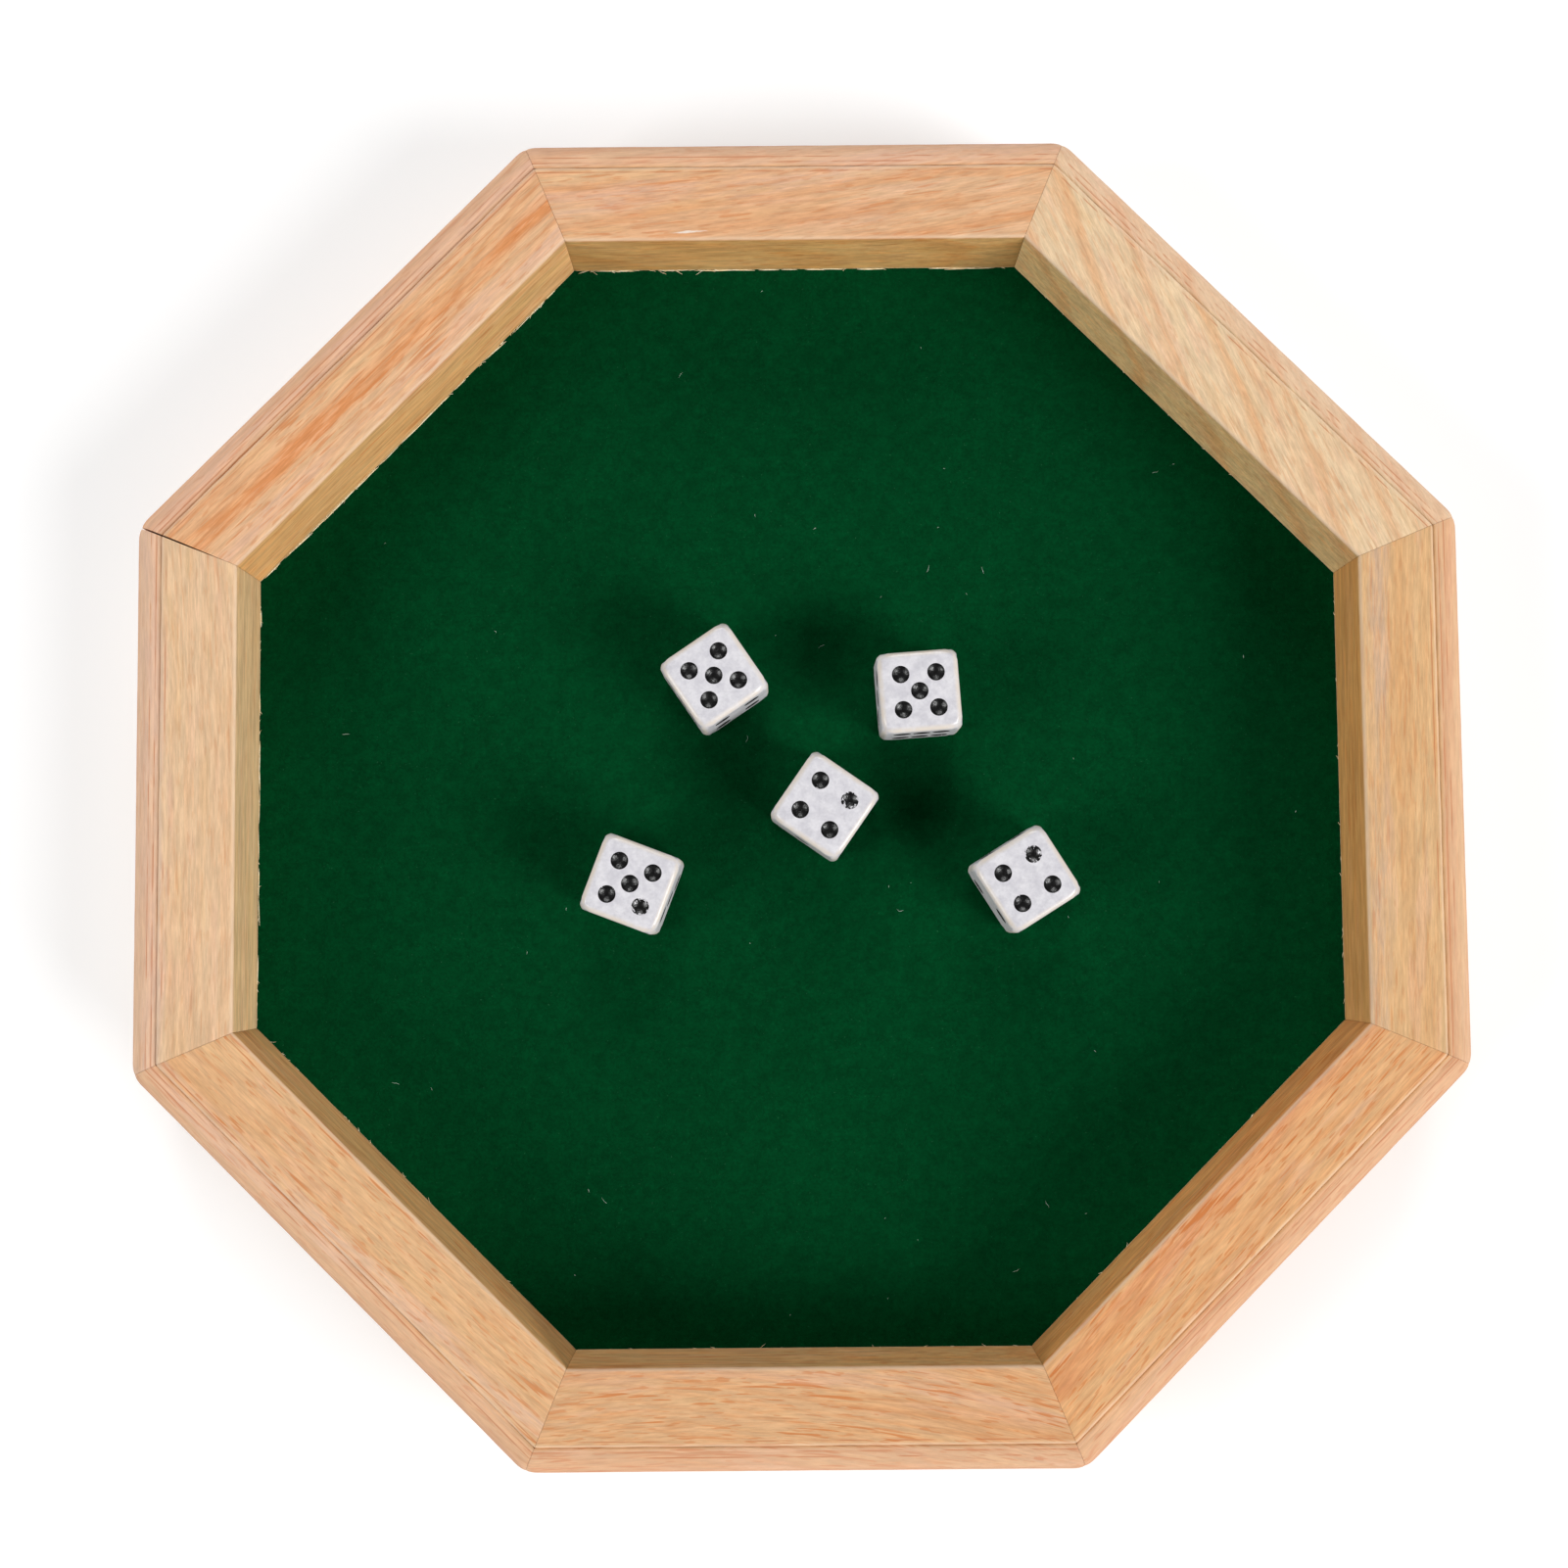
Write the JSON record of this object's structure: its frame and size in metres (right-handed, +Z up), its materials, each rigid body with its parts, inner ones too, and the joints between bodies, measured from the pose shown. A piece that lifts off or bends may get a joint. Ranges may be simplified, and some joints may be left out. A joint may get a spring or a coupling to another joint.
{
  "type": "dice tray",
  "caption": "Octagonal wooden dice tray: mitred moulded rails around a green felt floor on a thin panel, with loose white six-sided dice lying in it.",
  "frame": {"origin": "centre of the underside, on the surface that the tray stands on", "axes": "+Z up, out of the tray's mouth; +X towards the right-hand rail; +Y towards the back rail"},
  "size_m": [0.261, 0.261, 0.028],
  "materials": {
    "pine": "sanded, thin clear satin lacquer",
    "plywood": "bare, lightly sanded",
    "felt": "short matted pile",
    "steel": "bright, as made",
    "dice_plastic": "moulded, semi-gloss, pips painted gloss black"
  },
  "bodies": {
    "tray": {"rail_right": "pine", "rail_back_right": "pine", "rail_back": "pine", "rail_back_left": "pine", "rail_left": "pine", "rail_front_left": "pine", "rail_front": "pine", "rail_front_right": "pine", "base_panel": "plywood", "felt_lining": "felt", "corner_nail_1": "steel", "corner_nail_2": "steel", "corner_nail_3": "steel", "corner_nail_4": "steel", "corner_nail_5": "steel", "corner_nail_6": "steel", "corner_nail_7": "steel", "corner_nail_8": "steel", "panel_pin_01": "steel", "panel_pin_02": "steel", "panel_pin_03": "steel", "panel_pin_04": "steel", "panel_pin_05": "steel", "panel_pin_06": "steel", "panel_pin_07": "steel", "panel_pin_08": "steel", "panel_pin_09": "steel", "panel_pin_10": "steel", "panel_pin_11": "steel", "panel_pin_12": "steel", "panel_pin_13": "steel", "panel_pin_14": "steel", "panel_pin_15": "steel", "panel_pin_16": "steel"},
    "die_1": {"die_1": "dice_plastic"},
    "die_2": {"die_2": "dice_plastic"},
    "die_3": {"die_3": "dice_plastic"},
    "die_4": {"die_4": "dice_plastic"},
    "die_5": {"die_5": "dice_plastic"}
  },
  "joints": [
    {"name": "die_1_lift", "type": "slide", "parent": "tray", "child": "die_1", "axis": [0, 0, 1], "range_m": [0, 0.05]},
    {"name": "die_2_lift", "type": "slide", "parent": "tray", "child": "die_2", "axis": [0, 0, 1], "range_m": [0, 0.05]},
    {"name": "die_3_lift", "type": "slide", "parent": "tray", "child": "die_3", "axis": [0, 0, 1], "range_m": [0, 0.05]},
    {"name": "die_4_lift", "type": "slide", "parent": "tray", "child": "die_4", "axis": [0, 0, 1], "range_m": [0, 0.05]},
    {"name": "die_5_lift", "type": "slide", "parent": "tray", "child": "die_5", "axis": [0, 0, 1], "range_m": [0, 0.05]}
  ]
}
